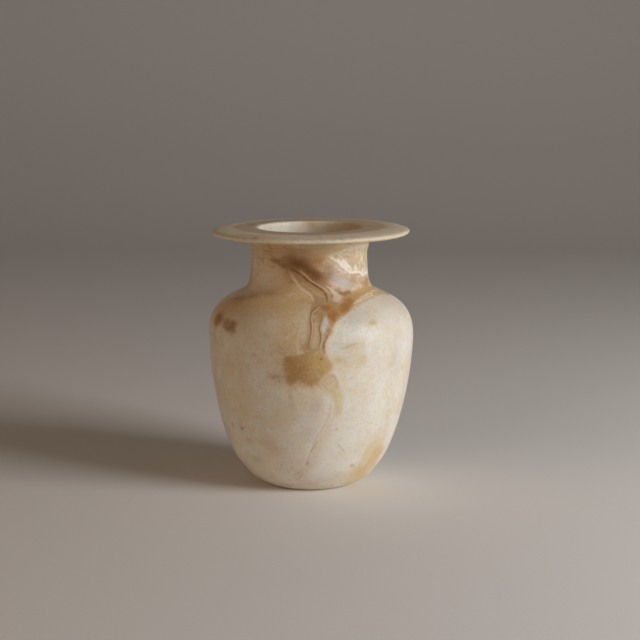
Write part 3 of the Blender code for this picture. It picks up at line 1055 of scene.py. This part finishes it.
stoneLook = {
    "cream": paint(236, 228, 214),
    "warm": paint(230, 217, 195),
    "cloudWhite": paint(241, 237, 231),
    "greyGreen": paint(216, 213, 197),
    "blush": paint(231, 211, 193),
    "speck": paint(178, 152, 118),
    "lipTone": paint(219, 208, 182),
    # painted light on the lip's outer slope, and painted shade on its flat top
    "lipSlopeLight": paint(247, 232, 204),
    "lipTopShade": paint(202, 177, 140),
    "lipDirt": paint(170, 146, 108),
    "neckTone": paint(218, 186, 140),
    "neckStreak": paint(168, 130, 88),
    "roughness": 0.38,
    "gloss": 0.32,
    "fineShade": (0.80, 0.75, 0.66, 1.0),
    "crustWhite": paint(222, 212, 195),
    "subsurface": 0.35,
    "glowDepth": 9.0,                    # mm that light travels under the surface
    "glowTint": (1.0, 0.62, 0.34),
}


def stoneMaterial():
    look = stoneLook
    sheet = Sheet("alabasterStone")
    place = sheet.place()
    warp = sheet.noise(place, 14, 3, out="Color")
    warped = sheet.add("ShaderNodeVectorMath", {"operation": "MULTIPLY_ADD"},
                       {0: warp, 1: (0.012, 0.012, 0.012), 2: place})

    clouds = sheet.noise(warped, 30, 5, 0.6)
    veil = sheet.noise(sheet.shift(place, (0.3, 0.1, 0.7)), 11, 4, 0.6, 0.8)
    mottle = sheet.noise(sheet.shift(warped, (0.7, 0.2, 0.4)), 3.2, 4, 0.6)
    grain = sheet.noise(place, 0.9, 2, 0.6)

    colour = sheet.mix(sheet.rise(clouds, 0.40, 0.60), look["cream"], look["warm"])
    colour = sheet.mix(sheet.rise(veil, 0.49, 0.64) * 0.65, colour, look["cloudWhite"])
    colour = sheet.mix(sheet.rise(mottle, 0.50, 0.68) * 0.5, colour, look["greyGreen"])
    flush = sheet.noise(sheet.shift(warped, (0.2, 0.8, 0.9)), 5.5, 4, 0.6)
    colour = sheet.mix(sheet.rise(flush, 0.52, 0.72) * 0.45, colour, look["blush"])
    colour = sheet.mix(sheet.rise(grain, 0.60, 0.80) * 0.16, colour, look["speck"])

    # neck and lip are duller than the body
    level = sheet.add("ShaderNodeSeparateXYZ", sockets={0: place}, out="Z") / mm
    outer = sheet.add("ShaderNodeVectorMath", {"operation": "LENGTH"},
                      {0: sheet.stretch(place, (1, 1, 0))}, out="Value") / mm
    onOutside = sheet.rise(outer, 31.5, 32.6)
    neckShare = sheet.rise(level, 108, 128) * (1 - sheet.rise(level, 143, 146)) * onOutside
    colour = sheet.mix(neckShare * (0.35 + 0.5 * sheet.rise(clouds, 0.35, 0.65)), colour, look["neckTone"])
    # streaks run level round the neck, as the stone was turned
    streaks = sheet.noise(sheet.stretch(warped, (1, 1, 5)), 9, 4, 0.6)
    colour = sheet.mix(sheet.rise(streaks, 0.46, 0.68) * neckShare * 0.6, colour, look["neckStreak"])
    lipShare = sheet.rise(level, 143, 146) * onOutside
    colour = sheet.mix(lipShare * 0.75, colour, look["lipTone"])
    # the lip's outer slope is painted paler: painted light where it faces the low key light
    lipSlopeLight = lipShare * (1 - sheet.rise(outer, 51.5, 56.5))
    colour = sheet.mix(lipSlopeLight * 0.8, colour, look["lipSlopeLight"])
    # the lip's flat top is painted browner: painted shade where the low key light barely reaches it
    lipTopShade = lipShare * (1 - sheet.rise(outer, 41.5, 45.5))
    colour = sheet.mix(lipTopShade * 0.8, colour, look["lipTopShade"])
    colour = sheet.mix(lipShare * sheet.rise(mottle + flush, 0.95, 1.25) * 0.25, colour, look["lipDirt"])

    edgeNoise = sheet.noise(sheet.shift(place, (0.5, 0.5, 0.1)), 2.4, 3, 0.6) - 0.5
    broadNoise = sheet.noise(sheet.shift(place, (0.1, 0.9, 0.3)), 6.0, 4, 0.6) - 0.5
    thinNoise = sheet.noise(sheet.shift(place, (0.9, 0.4, 0.6)), 1.3, 2, 0.5) - 0.5

    comes = sheet.noise(sheet.shift(place, (0.4, 0.3, 0.8)), 4.5, 4, 0.65) - 0.5

    def tintShare(name):
        mask = sheet.stored(name)
        return sheet.rise(mask + mask * (broadNoise + edgeNoise + comes), 0.0, 0.85)

    def areaShare(name):
        area = areas[name]
        pushed = sheet.stored(name) + (edgeNoise + broadNoise + thinNoise * 0.6) * (1.8 * area["ragged"])
        whole = sheet.rise(pushed, -area["rim"], area["rim"])
        return whole * (1 - sheet.rise(comes + thinNoise * 0.5, -0.05, 0.3) * area["patchy"])

    def veinShare(name):
        vein = veins[name]
        strength = sheet.stored(name + "Strength")
        moved = sheet.stored(name) + (edgeNoise + thinNoise * 0.7) * (1.6 * vein.get("ragged", 0.35))
        soft = vein.get("soft", 0)
        if vein.get("oneSided"):
            return sheet.rise(moved, -0.04, 0.04) * (1 - sheet.rise(moved, 0.1, 1.1)) * strength
        line = 1 - sheet.rise(abs(moved) * (1 + comes * 1.6), 0.35 - soft / 4, 1.35 + soft)
        return line * strength * (1.05 - sheet.rise(comes, -0.05, 0.3) * vein.get("patchy", 0.5))

    kinds = ((tints, tintShare), (areas, areaShare), (veins, veinShare))
    for name in laid:
        marks, share = next(kind for kind in kinds if name in kind[0])
        colour = sheet.mix(share(name) * marks[name]["strength"], colour, marks[name]["colour"])
        if name == "bellyPatch":
            patch = areaShare(name)
        if name == "crustField":
            # dry white flakes over the stained stone, whitest along the crust's rim
            crust = areaShare(name)
            flakes = sheet.noise(sheet.stretch(warped, (1, 1, 0.6)), 3.4, 4, 0.65, 0.3)
            rim = 1 - sheet.rise(sheet.stored(name), 0.4, 2.4)
            white = sheet.rise(flakes + rim * 0.16, 0.46, 0.62)
            colour = sheet.mix(crust * white * 0.85, colour, look["crustWhite"])

    # fine mottling, stronger in the brown patch, and faint level lines left by the turning
    fine = sheet.noise(sheet.shift(place, (0.6, 0.2, 0.3)), 1.2, 4, 0.65)
    fineShare = sheet.rise(fine, 0.42, 0.70) * (0.4 + patch * 0.45)
    colour = sheet.mix(fineShare, colour, look["fineShade"], "MULTIPLY")
    turned = sheet.noise(sheet.stretch(warped, (1, 1, 9)), 6, 3, 0.6)
    lines = sheet.rise(turned, 0.52, 0.68)
    colour = sheet.mix(lines * 0.2, colour, look["fineShade"], "MULTIPLY")

    rough = look["roughness"] + 0.12 * (veil - 0.5) + 0.10 * grain + 0.22 * crust
    height = 0.5 * grain + 0.5 * mottle + crust * white * 1.6
    bump = sheet.add("ShaderNodeBump", sockets={"Strength": 0.35, "Distance": 0.00012, "Height": height})

    shader = sheet.shader
    sheet.plug(shader.inputs["Base Color"], colour)
    sheet.plug(shader.inputs["Roughness"], rough)
    sheet.plug(shader.inputs["Normal"], bump)
    shader.inputs["Subsurface Weight"].default_value = look["subsurface"]
    shader.inputs["Subsurface Radius"].default_value = look["glowTint"]
    shader.inputs["Subsurface Scale"].default_value = look["glowDepth"] * mm
    shader.inputs["Specular IOR Level"].default_value = look["gloss"]
    return sheet.material


# floor, light and camera

studio = {
    "floorTone": paint(241, 238, 236),
    "keyPower": 9.1, "keyTint": (1.0, 0.99, 0.98), "keySize": 0.5,
    "keyPlace": (0.95, -0.50, 0.42),
    "fillPower": 3.1, "fillTint": (1.0, 0.70, 0.44), "fillSize": 1.2,
    "fillPlace": (-0.9, -0.7, 0.35),
    "world": (0.50, 0.42, 0.36), "worldPower": 0.13,
}


def buildFloor():
    bm = bmesh.new()
    ends = [bm.verts.new(p) for p in ((-3, -2.2, 0), (3, -2.2, 0))]
    edge = bm.edges.new(ends)
    sweep = [(0, 3.3, 0), (0, 0.35, 0.10), (0, 0.22, 0.24), (0, 0.10, 0.36), (0, 0.0, 2.2)]
    for step in sweep:
        grown = bmesh.ops.extrude_edge_only(bm, edges=[edge])["geom"]
        bmesh.ops.translate(bm, verts=[g for g in grown if isinstance(g, bmesh.types.BMVert)], vec=step)
        edge = next(g for g in grown if isinstance(g, bmesh.types.BMEdge))
    bmesh.ops.recalc_face_normals(bm, faces=bm.faces)
    if sum(f.normal.z for f in bm.faces) < 0:
        bmesh.ops.reverse_faces(bm, faces=bm.faces)
    mesh = bpy.data.meshes.new("floorSheet")
    bm.to_mesh(mesh)
    bm.free()
    mesh.shade_smooth()
    floor = bpy.data.objects.new("floorSheet", mesh)
    bpy.context.scene.collection.objects.link(floor)
    sheet = Sheet("palePaper")
    grain = sheet.noise(sheet.place(), 1.5, 2)
    sheet.plug(sheet.shader.inputs["Base Color"],
               sheet.mix(grain * 0.2, studio["floorTone"], paint(188, 182, 176)))
    sheet.shader.inputs["Roughness"].default_value = 0.75
    mesh.materials.append(sheet.material)


def aimed(item, place, target=(0, 0, 0.07)):
    item.location = place
    item.rotation_euler = (Vector(target) - Vector(place)).to_track_quat("-Z", "Y").to_euler()
    bpy.context.scene.collection.objects.link(item)


def buildLights():
    for name in ("key", "fill"):
        lamp = bpy.data.lights.new(name, "AREA")
        lamp.energy = studio[name + "Power"]
        lamp.color = studio[name + "Tint"]
        lamp.size = studio[name + "Size"]
        aimed(bpy.data.objects.new(name, lamp), studio[name + "Place"])
    world = bpy.data.worlds.new("studioAir")
    world.use_nodes = True
    world.node_tree.nodes["Background"].inputs[0].default_value = (*studio["world"], 1)
    world.node_tree.nodes["Background"].inputs[1].default_value = studio["worldPower"]
    bpy.context.scene.world = world


def buildCamera():
    lens = bpy.data.cameras.new("view")
    lens.lens = photoView["lens"]
    lens.sensor_width = photoView["sensor"]
    lens.clip_start = 0.01
    camera = bpy.data.objects.new("view", lens)
    camera.location = photoView["place"]
    camera.rotation_euler = (math.radians(90 - photoView["lookDown"]), 0, 0)
    bpy.context.scene.collection.objects.link(camera)
    bpy.context.scene.camera = camera


buildCamera()
buildFloor()
buildLights()
bpy.context.scene.view_settings.view_transform = "Standard"
print("studio ready")

vase = buildVase()
vase.data.materials.append(stoneMaterial())
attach(vase, "root")
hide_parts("vase")
print("vase ready:", len(vase.data.polygons), "faces")
